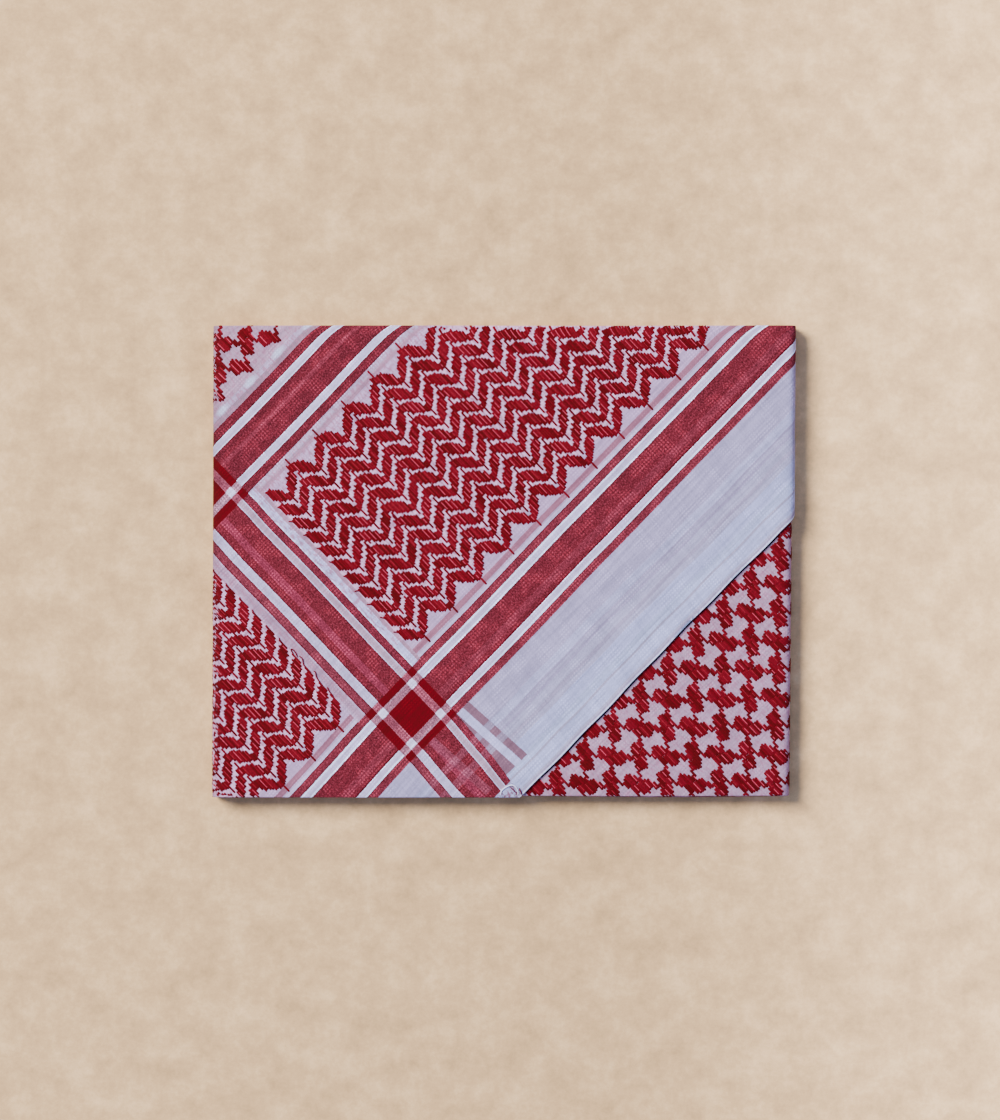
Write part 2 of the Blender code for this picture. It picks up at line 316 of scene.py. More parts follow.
THREAD_WAVES = (
    (22, 0.15), (42, 0.55), (75, 0.4), (100, 0.7), (122, 0.35), (137, -0.1), (205, 0.0),
    (235, 0.5),
)


def along_table(value, table):
    """A value read from a short table of (place, value) pairs, in straight lines between them."""
    places, values = zip(*table)
    return np.interp(value, places, values)


def press_wave(u):
    """The small waves that pressing leaves in the straight bands."""
    return along_table(u, PRESS_WAVES) + along_table(u, CORNER_DROOP)


def slant(u, v):
    """How far the threads across the bands lean, and how the hem pinches them together."""
    start, slope, bend = LEAN_CURVE
    pinch = PINCH * np.clip((u - PINCH_MIDDLE) / PINCH_SPAN, -1.0, 1.3)
    pinch = pinch * np.maximum(v - PINCH_FROM, 0)
    waves = along_table(v, LEAN_WAVES) + along_table(u, THREAD_WAVES)
    return start + slope * v + bend * v * v + waves - pinch


def drag(across):
    """How far pressing dragged the cloth sideways along the back fold."""
    return BACK_DRAG * np.clip((across - HALF_WIDTH) / BACK_DRAG_WIDTH + 1.0, 0.0, 1.0) ** 2


# The weave has given way round the left end, so that its lines run nearly straight to the very
# edge: places along the sheet, and the places of the flat weave that lie there.
END_ALONG = LEFT_TURN_X - LEFT_RADIUS * np.linspace(math.pi / 2, 0.0, 61)
END_WEAVE = LEFT_TURN_X - LEFT_RADIUS * (
    END_GIVE * turn_outline((LEFT_TURN_X - END_ALONG) / LEFT_RADIUS)[0]
    + (1 - END_GIVE) * (LEFT_TURN_X - END_ALONG) / LEFT_RADIUS)


def given_way(along, from_places, to_places):
    """Read one of the two rows of places from the other; beyond them the sheet just carries on."""
    beyond = np.minimum(along - from_places[0], 0.0)
    return np.where(along < LEFT_TURN_X, np.interp(along, from_places, to_places), along) + beyond


def straight_from_flat(along, across):
    """Millimetres across and along the packet's own diagonal, which the inner layer follows."""
    x = given_way(along, END_ALONG, END_WEAVE) + lean(along, across)
    x = x - drag(across) - WEAVE_ORIGIN[0]
    y = across - WEAVE_ORIGIN[1]
    u = x * math.cos(WEAVE_ANGLE) + y * math.sin(WEAVE_ANGLE)
    v = x * math.sin(WEAVE_ANGLE) - y * math.cos(WEAVE_ANGLE)
    return u, v


def weave_from_flat(along, across):
    """Millimetres counted in threads: S across the slanting threads and T across the bands."""
    u, v = straight_from_flat(along, across)
    s = u - slant(u, v)
    t = v - BAND_LEVEL - BAND_SLOPE * (u - BAND_MIDDLE) - press_wave(u)
    return s, t


def flat_from_weave(s, t):
    """The inverse of weave_from_flat, found by repeating the correction until it is steady."""
    u, v = s, t
    for _ in range(8):
        v = t + BAND_LEVEL + BAND_SLOPE * (u - BAND_MIDDLE) + press_wave(u)
        u = s + slant(u, v)
    x = WEAVE_ORIGIN[0] + u * math.cos(WEAVE_ANGLE) + v * math.sin(WEAVE_ANGLE)
    across = WEAVE_ORIGIN[1] + u * math.sin(WEAVE_ANGLE) - v * math.cos(WEAVE_ANGLE)
    along = x
    for _ in range(3):
        along = given_way(x - lean(along, across) + drag(across), END_WEAVE, END_ALONG)
    return along, across


HEM_WIDTH = 11.0
HEM_RADIUS = 0.36
HEM_RISE = 0.12
HEM_NORMAL = Vector((1, -HEM_SLOPE, 0)).normalized()
HEM_POINT = Vector((HEM_FRONT_X, HEM_FRONT_Y, 0))
HEM_DENT = 0.16
RIDGE_INSET = 27.8
RIDGE_RISE = 0.16


def hem_frame(along, across):
    """Distance along the finished edge, and distance beyond it, for points of the flat sheet."""
    steady = smooth_step(HALF_WIDTH - np.abs(across), 0.0, HEM_STEADY)
    wave = HEM_WAVE * np.sin(across / HEM_WAVE_SPAN) + HEM_RIPPLE * np.sin(across / HEM_RIPPLE_SPAN)
    wave = wave * steady
    x = along - HEM_FRONT_X - wave
    y = across - HEM_FRONT_Y
    return x * -HEM_NORMAL.y + y * HEM_NORMAL.x, x * HEM_NORMAL.x + y * HEM_NORMAL.y


def place_free_end(along, across, height):
    """Turn the sheet's cut edge under along the hem line, then roll the sheet up."""
    _, beyond = hem_frame(along, across)
    raised = HEM_RISE * smooth_step(beyond, -HEM_WIDTH - 2.0, -HEM_WIDTH + 0.5)
    stitched = -HEM_DENT * np.exp(-((beyond + HEM_WIDTH - 0.6) / 0.8) ** 2)
    ridge = RIDGE_RISE * smooth_step(beyond, -RIDGE_INSET - 1.0, -RIDGE_INSET + 0.6)
    moved, height = fold_over(beyond + HEM_RADIUS, height, HEM_RADIUS)
    shift = moved - (beyond + HEM_RADIUS)
    height = height + raised + stitched + ridge - RIDGE_RISE
    return roll_up("flap", along + HEM_NORMAL.x * shift, across + HEM_NORMAL.y * shift, height)


def stops(*runs):
    """Positions along one side of a sheet, from (start, end, step) runs set end to end."""
    values = []
    for start, end, step in runs:
        values.extend(np.linspace(start, end, max(1, round((end - start) / step)), endpoint=False))
    return np.array(values + [runs[-1][1]])


def both_sides(middle_step, *runs):
    """Positions across a sheet, alike on both sides, from runs between its edge and its middle."""
    inner = runs[-1][1]
    mirrored = [(-end, -start, step) for start, end, step in reversed(runs)]
    return stops(*runs, (inner, -inner, middle_step), *mirrored)


def flat_sheet(along_stops, across_stops):
    """A flat grid of cloth, in its own millimetres, with columns and rows at the given stops."""
    bm = bmesh.new()
    columns, rows = len(along_stops) - 1, len(across_stops) - 1
    bmesh.ops.create_grid(bm, x_segments=columns, y_segments=rows, size=1.0)
    for vert in bm.verts:
        column = round((vert.co.x + 1) / 2 * columns)
        row = round((vert.co.y + 1) / 2 * rows)
        vert.co = (along_stops[column], across_stops[row], 0.0)
    return bm


def cut_sheet(bm, point, normal, discard=False):
    """Cut a flat sheet along a straight line, and discard what lies beyond it."""
    bmesh.ops.bisect_plane(bm, geom=[*bm.verts, *bm.edges, *bm.faces], dist=1e-4,
                           plane_co=point, plane_no=normal, clear_outer=discard)


def finish_sheet(name, bm, maps, place, material, ply=PLY):
    """Keep the flat sheet's UV maps, place its points, and give it its thickness."""
    mesh = bpy.data.meshes.new(name)
    bm.to_mesh(mesh)
    bm.free()
    points = np.empty(len(mesh.vertices) * 3)
    mesh.vertices.foreach_get("co", points)
    along, across, height = points.reshape(-1, 3).T
    corners = np.empty(len(mesh.loops), dtype=int)
    mesh.loops.foreach_get("vertex_index", corners)
    for map_name, flat_map in maps.items():
        pair = np.stack(flat_map(along, across), axis=-1) * MM
        mesh.uv_layers.new(name=map_name).data.foreach_set("uv", pair[corners].ravel())
    area = sum(face.area for face in mesh.polygons) * MM * MM
    size = (np.ptp(along) * MM, np.ptp(across) * MM)
    mesh.vertices.foreach_set("co", place(along, across, height).ravel())
    mesh.update()
    mesh.shade_smooth()
    mesh.materials.append(material)
    piece = add_object(name, mesh)
    thickness = piece.modifiers.new("ply", "SOLIDIFY")
    thickness.thickness = ply * MM
    thickness.offset = -1
    return piece, size, area


# Stripes of the jacquard, as the distance where each colour starts.  A stripe's first and last
# threads pack closer, so each red has a darker line at both its edges and each white a paler one.
EDGE = 0.55
GROUND = "#CA9EC2"
PALE_GROUND = "#AB8FB5"
PALE_PINK = "#8E5D73"
SOFT_WHITE = "#B2A0C4"
WHITE_EDGE = "#D2DAFF"
CROSS_EDGE = "#B8B2D6"
WHITE = "#B6A9D0"
RED_EDGE = "#560010"
THIN_RED = "#6C2431"
WIDE_RED = "#661C28"
WIDE_RED_PALE = "#712634"
MARGIN = "#9C93B8"
FIELD_GROUND = "#A4849E"
INNER_PINK = "#8C6F83"
INNER_WHITE = "#A893B4"
INNER_RED = "#601A26"
INNER_RED_PALE = "#762938"


def edged(start, end, edge, first, *others):
    """One woven stripe with its edge lines, and the places where its middle changes shade."""
    return [(start, edge), (start + EDGE, first), *others, (end - EDGE, edge)]


OUTER_BANDS = [
    (-100.0, GROUND), (-32.0, PALE_GROUND), (-24.6, PALE_PINK), (-21.3, "#A48DB0"),
    (-20.4, SOFT_WHITE), (-19.3, "#BBB0D6"), *edged(-18.7, -13.9, RED_EDGE, THIN_RED),
    *edged(-13.9, -9.6, WHITE_EDGE, WHITE),
    *edged(-9.6, 8.45, RED_EDGE, WIDE_RED, (1.2, WIDE_RED_PALE), (5.6, WIDE_RED)),
    *edged(8.45, 12.65, WHITE_EDGE, WHITE), (12.65, RED_EDGE), (12.65 + EDGE, THIN_RED),
    (17.6, MARGIN),
]
INNER_BANDS = [
    (-195.4, FIELD_GROUND), (-192.0, INNER_WHITE), (-188.9, INNER_PINK),
    *edged(-185.8, -180.7, RED_EDGE, INNER_RED), *edged(-180.7, -176.55, WHITE_EDGE, WHITE),
    *edged(-176.55, -158.25, RED_EDGE, INNER_RED, (-173.4, WIDE_RED), (-170.8, INNER_RED_PALE),
           (-168.4, INNER_RED)),
    *edged(-158.25, -154.05, WHITE_EDGE, WHITE), *edged(-154.05, -148.9, RED_EDGE, INNER_RED),
    (-148.9, INNER_WHITE), (-146.0, FIELD_GROUND), (-145.4, "#9C7690"), (-143.4, "#B494BA"),
    (-134.0, GROUND),
]
# The same stripes as kinds of yarn: red, white, white that lies under an edge, the plain margin.
NO_YARN = "#000000"
RED_YARN = "#FF0000"
WHITE_YARN = "#00FF00"
INNER_YARN = "#00CD00"
MARGIN_YARN = "#0000FF"


def white_stripe(start, end):
    return [(start, WHITE_YARN), (start + EDGE, INNER_YARN), (end - EDGE, WHITE_YARN)]


BAND_YARNS = [
    (-199.4, NO_YARN), (-185.8, RED_YARN), (-180.7, WHITE_YARN), (-176.55, RED_YARN),
    (-158.25, WHITE_YARN), (-154.05, RED_YARN), (-148.9, NO_YARN), (-18.7, RED_YARN),
    *white_stripe(-13.9, -9.6), (-9.6, RED_YARN), *white_stripe(8.45, 12.65), (12.65, RED_YARN),
    (17.6, MARGIN_YARN),
]
# The stripes of the other set, which cross the bands: where they show, as (middle, half width),
# over the patterns, over the margin, and as strays in the hem.
CROSS_SHOWS = (-0.2, 24.5)
CROSS_IN_MARGIN = (-0.8, 18.5)
CROSS_IN_HEM = (-2.0, 19.0)
CROSS_FADED = 0.15
CROSS_WHITE_LEFT = "#AEA3C9"
CROSS_WHITE_RIGHT = "#A2879F"
CROSS_BANDS = [
    (-26.0, "#A88CAC"), (-23.2, "#9C7C98"), (-19.9, "#A68EAE"),
    *edged(-19.0, -13.9, RED_EDGE, "#702B39"), *edged(-13.9, -9.2, CROSS_EDGE, CROSS_WHITE_LEFT),
    *edged(-9.2, 9.2, RED_EDGE, WIDE_RED, (-4.6, "#7C2A3E"), (-0.3, WIDE_RED)),
    *edged(9.2, 13.45, CROSS_EDGE, CROSS_WHITE_RIGHT), *edged(13.45, 17.8, RED_EDGE, "#6A2130"),
    (17.8, WHITE_EDGE), (17.8 + EDGE, "#B0AAD8"), (22.3, "#9A7890"),
]
CROSS_YARNS = [
    (-26.0, NO_YARN), (-19.0, RED_YARN), *white_stripe(-13.9, -9.2), (-9.2, RED_YARN),
    *white_stripe(9.2, 13.45), (13.45, RED_YARN), (17.8, NO_YARN),
]
RED_ON_RED = "#5A000A"
WHITE_OVER_BAND = "#9E566C"
BAND_WHITE_OVER = "#9A6F84"
WHITE_ON_WHITE = "#D0CAEC"
FLECK = "#B4607A"
TIE = "#A0708C"
SPOT_WHITE = "#B4B4D4"
STRAY_RED = "#7E3447"
# The layer below shows through the margin between the wide bands and the hem: its own stripes
# run straight, as (place, kind of yarn) across them, with two white bars of it along the bands.
BAR_YARN = "#FFFF00"
BELOW_STRIPES = [(-12.0, NO_YARN), (-10.5, RED_YARN), (-6.0, WHITE_YARN), (-1.1, RED_YARN),
                 (16.5, WHITE_YARN), (20.9, NO_YARN), (21.3, RED_YARN), (25.8, NO_YARN)]
BELOW_BARS = [(-10.0, NO_YARN), (17.4, RED_YARN), (32.7, BAR_YARN), (37.0, RED_YARN),
              (41.8, BAR_YARN), (46.6, RED_YARN)]
BELOW_LEAN = 0.028
BELOW_LEAN_FROM = 20.0
BELOW_GLOW = 0.27
BELOW_RED = "#765668"
BELOW_WHITE = "#AAA6D3"
BELOW_PINK = "#94536A"
BELOW_END = -14.4
CROSS_END = -10.2
# White spots beside the inner bands: where one lies, and the step from each to the next.
SPOT_AT = (60.8, -190.7)
SPOT_STEP = 10.95
# The patterned ground lies below this band, and beyond this count of threads on the field.
PATTERN_END = -32.0
FIELD_START = 420.0
# The margin by its distance from the finished edge: faint darker lines at its creases, partly what
# lies below showing through and partly painted shade; painted shade at the stitched hem's crease;
# and a painted highlight along its rim.
HEM_SHADES = [
    (-60.0, MARGIN), (-42.0, "#A09DC5"), (-37.2, "#9389AD"), (-36.0, "#9790B3"),
    (-34.4, "#9389AD"), (-32.8, "#9B96B9"), (-28.2, "#938AAB"), (-26.0, "#9B96B9"),
    (-23.0, "#9FA1CE"), (-16.0, "#9BA0C8"), (-13.4, "#A5ABD7"), (-11.4, "#958FAE"),
    # The last two stops are the painted highlight along the rim.
    (-10.3, "#A4A7D4"), (-3.4, "#9E99B9"), (-2.2, "#9789AB"), (-1.2, "#B4B0D6"),
    (-0.75, "#DCE2FF"),
]
THREAD = 1.104
GAP_REACH = 0.9
GAP_SHADOW = "#1C0A04"


def striped(tree, distance, stripes):
    """Flat colours along a distance, from (where each starts, colour) pairs in millimetres."""
    low, high = stripes[0][0], stripes[-1][0] + 1.0
    share = add_node(tree, "MapRange", distance, low * MM, high * MM)
    places = [((start - low) / (high - low), colour) for start, colour in stripes]
    return add_node(tree, "ValToRGB", share, stops=places, steps=True)


def frayed_map(tree, name, amount):
    """One of the cloth's maps, its lines a little ragged from thread to thread."""
    flat = add_node(tree, "UVMap", uv_map=name)
    ragged = add_node(tree, "TexNoise", flat, Scale=1 / (THREAD * MM), Detail=1.0, Roughness=0.6)
    offset = add_node(tree, "VectorMath MULTIPLY_ADD", ragged.outputs["Color"],
                      (amount * MM,) * 3, (-amount / 2 * MM,) * 3)
    frayed = add_node(tree, "VectorMath ADD", flat, offset)
    first, second, _ = add_node(tree, "SeparateXYZ", frayed).outputs
    return flat, first, second


def painted_end_shade(tree):
    """Painted shade: a little darkening at the packet's left end, over its fold."""
    place = add_node(tree, "TexCoord").outputs["Object"]
    sideways = add_node(tree, "SeparateXYZ", place).outputs["X"]
    return add_node(tree, "MapRange", sideways, (2.0 - HALF_LENGTH) * MM,
                    (6.5 - HALF_LENGTH) * MM, 0.62, 1.0)


def banded_weave(tree):
    """The cloth's woven stripes: returns the colour, and the height of its threads."""
    weave, cross, band = frayed_map(tree, "weave", 0.5)
    _, _, beyond = frayed_map(tree, "hem", 0.4)
    _, across, onward = frayed_map(tree, "straight", 0.5)

    outer = add_node(tree, "Math GREATER_THAN", band, OUTER_BANDS[0][0] * MM)
    colour = add_node(tree, "Mix RGBA", outer, striped(tree, band, INNER_BANDS),
                      striped(tree, band, OUTER_BANDS))
    band_red, band_white, margin = add_node(
        tree, "SeparateXYZ", striped(tree, band, BAND_YARNS)).outputs
    cross_red, cross_white, _ = add_node(
        tree, "SeparateXYZ", striped(tree, cross, CROSS_YARNS)).outputs

    # What lies below shows faintly through the margin and through the red stripes across it.
    leaning = add_node(tree, "Math MULTIPLY_ADD", onward, -BELOW_LEAN, across)
    leaning = add_node(tree, "Math ADD", leaning, BELOW_LEAN * BELOW_LEAN_FROM * MM)
    before_hem = add_node(tree, "Math LESS_THAN", beyond, BELOW_END * MM)
    before_fold = add_node(tree, "Math LESS_THAN", beyond, CROSS_END * MM)
    in_reach = add_node(tree, "VectorMath MULTIPLY", striped(tree, band, BELOW_BARS), before_hem)
    shown, bar, _ = add_node(tree, "SeparateXYZ", in_reach).outputs
    below = add_node(tree, "VectorMath MULTIPLY", striped(tree, leaning, BELOW_STRIPES), shown)
    below_red, below_white, _ = add_node(tree, "SeparateXYZ", below).outputs
    lighter = add_node(tree, "Math MULTIPLY_ADD", bar, -0.45, 1.0)
    below_red = add_node(tree, "Math MULTIPLY", below_red, lighter)
    plain = striped(tree, beyond, HEM_SHADES)
    for share, over in ((below_red, BELOW_RED), (below_white, BELOW_WHITE)):
        plain = add_node(tree, "Mix RGBA", share, plain, over)
    colour = add_node(tree, "Mix RGBA", margin, colour, plain)
    glow = add_node(tree, "Math ADD", below_white, bar)
    for factor in (cross_red, BELOW_GLOW):
        glow = add_node(tree, "Math MULTIPLY", glow, factor)
    crossing = add_node(tree, "Mix RGBA", glow, striped(tree, cross, CROSS_BANDS), BELOW_PINK)

    # The other set of stripes, over the plain ground, over the white stripes and over the red.
    present, in_margin, near = (
        add_node(tree, "Math COMPARE", cross, middle * MM, half * MM)
        for middle, half in (CROSS_SHOWS, CROSS_IN_MARGIN, CROSS_IN_HEM))
    faded = add_node(tree, "MapRange", before_fold, 0.0, 1.0, CROSS_FADED)
    in_margin = add_node(tree, "Math MULTIPLY", in_margin, faded)
    present = add_node(tree, "Mix FLOAT", margin, present, in_margin)
    is_white = add_node(tree, "Math GREATER_THAN", band_white, 0.1)
    thinly = add_node(tree, "Math MULTIPLY", cross_white, 0.7)
    white_over = add_node(tree, "Mix RGBA", band_white, crossing, BAND_WHITE_OVER)
    on_white = on_red = colour
    for share, over in ((cross_white, WHITE_ON_WHITE), (cross_red, white_over)):
        on_white = add_node(tree, "Mix RGBA", share, on_white, over)
    for share, over in ((thinly, WHITE_OVER_BAND), (cross_red, RED_ON_RED)):
        on_red = add_node(tree, "Mix RGBA", share, on_red, over)
    for share, over in ((present, crossing), (is_white, on_white), (band_red, on_red)):
        colour = add_node(tree, "Mix RGBA", share, colour, over)

    # The real threads lie 1.1 mm apart; their grid is drawn coarser, and only in patches, to
    # show from a distance as it does on the real cloth.
    threads = [add_node(tree, "TexWave", weave, bands_direction=direction, Distortion=2.5,
                        Scale=math.pi / 10 / (1.5 * THREAD * MM), Detail=1.0,
                        **{"Detail Scale": 0.6}).outputs["Fac"] for direction in "XY"]
    grid = add_node(tree, "Math MULTIPLY", *threads)
    patches = add_node(tree, "TexNoise", weave, Scale=1 / (9 * MM), Detail=1.0)
    patchy = add_node(tree, "MapRange", patches, 0.47, 0.6, 0.0, 0.6)
    longer = add_node(tree, "Mapping", weave, Scale=(1.0, 0.65, 1.0))
    fuzz = add_node(tree, "TexNoise", longer, Scale=1 / (0.72 * MM), Detail=1.5, Roughness=0.8)
    fine = add_node(tree, "Math MULTIPLY_ADD", grid, patchy, fuzz)
    centred = add_node(tree, "Math SUBTRACT", fine, 0.54)
    either = add_node(tree, "Math MAXIMUM", band_red, cross_red)
    both = add_node(tree, "Math MULTIPLY", band_red, cross_red)
    single = add_node(tree, "Math SUBTRACT", either, both)
    rough = add_node(tree, "MapRange", single, 0.0, 1.0, 0.5, 2.6)
    shade = add_node(tree, "Math MULTIPLY", centred, rough)
    cloud = add_node(tree, "TexNoise", weave, Scale=1 / (14 * MM), Detail=2.0)
    darkest = add_node(tree, "Math MULTIPLY_ADD", single, 0.1, 0.77)
    lightest = add_node(tree, "Math MULTIPLY_ADD", single, -0.1, 1.14)
    slow = add_node(tree, "MapRange", cloud, 0.0, 1.0, darkest, lightest)
    shade = add_node(tree, "Math ADD", shade, slow)
    # Single threads run a little thicker or thinner for some centimetres, in both directions.
    for stretch, least in (((0.05, 1.0, 1.0), 0.82), ((1.0, 0.07, 1.0), 0.93)):
        drawn_out = add_node(tree, "Mapping", weave, Scale=stretch)
        lines = add_node(tree, "TexNoise", drawn_out, Scale=1 / (1.9 * MM), Detail=1.0)
        line = add_node(tree, "MapRange", lines, 0.3, 0.6, least, 1.05)
        shade = add_node(tree, "Math MULTIPLY", shade, line)
    # Painted shade at the packet's left end.
    shade = add_node(tree, "Math MULTIPLY", shade, painted_end_shade(tree))

    # Pale yarns peep through single reds, and pink ones through the ground of the patterns.
    pale = add_node(tree, "MapRange", fuzz, 0.5, 0.7, 0.0, 0.12)
    pale = add_node(tree, "Math MULTIPLY", single, pale)
    patterned = add_node(tree, "Math LESS_THAN", band, PATTERN_END * MM)
    in_field = add_node(tree, "Math GREATER_THAN", cross, FIELD_START * MM)
    patterned = add_node(tree, "Math MAXIMUM", patterned, in_field)
    yarns = add_node(tree, "Math ADD", either, band_white)
    yarns = add_node(tree, "Math ADD", yarns, cross_white)
    patterned = add_node(tree, "Math SUBTRACT", patterned, yarns, use_clamp=True)
    upright = add_node(tree, "Mapping", weave, Scale=(1.0, 0.35, 1.0))
    knots = add_node(tree, "TexNoise", upright, Scale=1 / (1.1 * MM), Detail=0.5)
    pink = add_node(tree, "MapRange", knots, 0.52, 0.36, 0.0, 0.75)
    pink = add_node(tree, "Math MULTIPLY", patterned, pink)

    # White floats in the border beside the inner bands, one soft spot at each half check.
    spot_s = add_node(tree, "Math SUBTRACT", cross, SPOT_AT[0] * MM)
    spot_s = add_node(tree, "Math PINGPONG", spot_s, SPOT_STEP * MM)
    spot_s = add_node(tree, "Math MULTIPLY", spot_s, 0.48)
    spot_t = add_node(tree, "Math SUBTRACT", band, SPOT_AT[1] * MM)
    spot_at = add_node(tree, "CombineXYZ", spot_s, spot_t)
    spot_far = add_node(tree, "VectorMath LENGTH", spot_at).outputs["Value"]
    spot = add_node(tree, "MapRange", spot_far, 2.5 * MM, 1.0 * MM)

    # In the stitched hem the bands across are turned under: only specks of their red come out.
    in_hem = add_node(tree, "Math SUBTRACT", margin, before_fold, use_clamp=True)
    in_hem = add_node(tree, "Math MULTIPLY", in_hem, near)
    stray = add_node(tree, "TexNoise", weave, Scale=1 / (2.6 * MM), Detail=2.0)
    stray = add_node(tree, "MapRange", stray, 0.53, 0.6, 0.0, 0.75)
    stray = add_node(tree, "Math MULTIPLY", stray, in_hem)

    # Under the hem's edge the field lies in the dark.
    edge_gap = add_node(tree, "Math COMPARE", beyond, 0.0, GAP_REACH * MM)
    edge_gap = add_node(tree, "Math MULTIPLY", edge_gap, in_field)
    for share, over in ((pale, FLECK), (pink, TIE), (spot, SPOT_WHITE), (stray, STRAY_RED),
                        (edge_gap, GAP_SHADOW)):
        colour = add_node(tree, "Mix RGBA", share, colour, over)
    return add_node(tree, "VectorMath SCALE", colour, shade), fine


# Yarn-dyed jacquard cotton, washed and pressed: fully matt, with a faint nap and a thread relief.
banded_cotton, tree, shader = new_material("yarn-dyed jacquard cotton", 0.9)
colour, thread_height = banded_weave(tree)
tree.links.new(colour.outputs["Vector"], shader.inputs["Base Color"])
relief = add_node(tree, "Bump", Strength=0.6, Distance=0.3 * MM, Height=thread_height)
tree.links.new(relief.outputs["Normal"], shader.inputs["Normal"])

bm = flat_sheet(
    stops((LEFT_SEAM_ALONG, LEFT_TURN_X + 1, 1.2), (LEFT_TURN_X + 1, 152.0, 3.0),
          (152.0, 178.0, 1.3), (178.0, 286.0, 4.0)),
    both_sides(3.2, (-134.0, -131.2, 1.4), (-131.2, -128.6, 0.26), (-128.6, -116.0, 1.6)))
for beyond in (-RIDGE_INSET - 1.0, -RIDGE_INSET + 0.6, -HEM_WIDTH - 2.0, -HEM_WIDTH, -2.5, -0.5,
               -0.2, 0.07, 0.33, 0.6, 0.86, 1.1, 4.0):
    cut_sheet(bm, HEM_POINT + HEM_NORMAL * beyond, HEM_NORMAL)
cut_sheet(bm, HEM_POINT + HEM_NORMAL * (HEM_WIDTH + 0.6), HEM_NORMAL, discard=True)
free_end, size, area = finish_sheet(
    "free_end_cloth", bm,
    {"weave": weave_from_flat, "hem": hem_frame, "straight": straight_from_flat},
    place_free_end, banded_cotton)
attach(free_end, "root")
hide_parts("outer_flap", "flap_hem", "flap_tip")


# ---------------------------------------------------------------------------------------------
# The underside: the same strip of cloth after it has gone round the left end, lying flat on the
# table up to the free end's tip.  Its weave carries on from the free end's.
# ---------------------------------------------------------------------------------------------
TIP_TURN_X = HALF_LENGTH - LEFT_RADIUS
TIP_OVERHANG = 7.75
TIP_START_Y = HEM_FRONT_Y + (TIP_TURN_X - HEM_FRONT_X) / HEM_SLOPE
HALF_TURN = math.pi * LEFT_RADIUS
SEAM = 0.3
place_underside = functools.partial(roll_up, "underside")


def underside_along(x):
    """Where on the continued strip a point of the underside at x lies."""
    return LEFT_SEAM_ALONG - (x - LEFT_TURN_X)


bm = flat_sheet(
    stops((underside_along(HALF_LENGTH - TIP_OVERHANG - SEAM), LEFT_SEAM_ALONG, 4.0)),
    both_sides(4.0, (-134.0, -130.9, 1.5), (-130.9, -128.1, 0.28)))
tip_corner = Vector((underside_along(TIP_TURN_X + HALF_TURN - SEAM), TIP_START_Y, 0))
cut_sheet(bm, tip_corner, Vector((-1, HEM_SLOPE, 0)).normalized(), discard=True)
underside, size, area = finish_sheet(
    "underside_cloth", bm, {"weave": weave_from_flat}, place_underside, banded_cotton)
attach(underside, "root")
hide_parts("underside_stretch")


# ---------------------------------------------------------------------------------------------
# The turn below the free end: the checked field of the scarf, coming up over the right end and
# running on under the free end, so that only its front right corner shows from above.
# ---------------------------------------------------------------------------------------------
# The two thread directions, which the folding has pulled a little out of square.
FIELD_ANGLE = math.radians(45.72)
FIELD_CROSS_ANGLE = math.radians(43.13)
FIELD_MOTIF = (104.25, -91.25)
FIELD_IN_WEAVE = (500.0, -400.0)
place_field = functools.partial(roll_up, "field")


def field_weave(along, across):
    """Thread counts on the field, set far from the bands so that they stay off it."""
    x = along + lean(along, across) - FIELD_MOTIF[0]
    y = across - FIELD_MOTIF[1]
    s = x * math.cos(FIELD_CROSS_ANGLE) + y * math.sin(FIELD_CROSS_ANGLE)
    t = x * math.sin(FIELD_ANGLE) - y * math.cos(FIELD_ANGLE)
    square = math.cos(FIELD_ANGLE - FIELD_CROSS_ANGLE)
    return s / square + FIELD_IN_WEAVE[0], t / square + FIELD_IN_WEAVE[1]


def flat_from_field(s, t):
    x = FIELD_MOTIF[0] + s * math.cos(FIELD_ANGLE) + t * math.sin(FIELD_CROSS_ANGLE)
    across = FIELD_MOTIF[1] + s * math.sin(FIELD_ANGLE) - t * math.cos(FIELD_CROSS_ANGLE)
    along = x
    for _ in range(3):
        along = x - lean(along, across)
    return along, across


bm = flat_sheet(
    stops((LEFT_TURN_X + 1.5, 150.0, 4.0), (150.0, 172.8, 1.2)),
    both_sides(4.0, (-134.0, -130.9, 1.5), (-130.9, -127.9, 0.3), (-127.9, -116.0, 2.0)))
field, size, area = finish_sheet(
    "field_cloth", bm, {"weave": field_weave, "hem": hem_frame}, place_field, banded_cotton)
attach(field, "root")
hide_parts("field_stretch")


# ---------------------------------------------------------------------------------------------
# The turns hidden inside the packet, which show only as rounded folded edges along its two long
# sides: thin belts of doubled cloth, one inside the other, each lying a little out of line.
# ---------------------------------------------------------------------------------------------
CORE_BOTTOM = LAYER
CORE_MIDDLE = (CORE_TOP + CORE_BOTTOM) / 2
CORE_HALF = CORE_TOP - CORE_MIDDLE
END_SHARE = 0.1
CORE_TURNS = ("outer turn", "second turn", "inner turn")
BELTS = 6
BELT_PITCH = CORE_HALF / BELTS
BELT_OUTSET = 0.12
BELT_RADIUS = 0.34
BELT_PLY = 0.3
BELT_SHIFTS = (0.0, 0.55, 0.1, 0.75, 0.3, 0.9)
CORE_ALONG = TIP_TURN_X - LEFT_TURN_X
CORE_ROUND = 15.0
BELT_LENGTH = 2 * (CORE_ALONG + CORE_ROUND)
BELT_IN_WEAVE = (300.0, -500.0)
BELT_MAP_STEP = 73.0


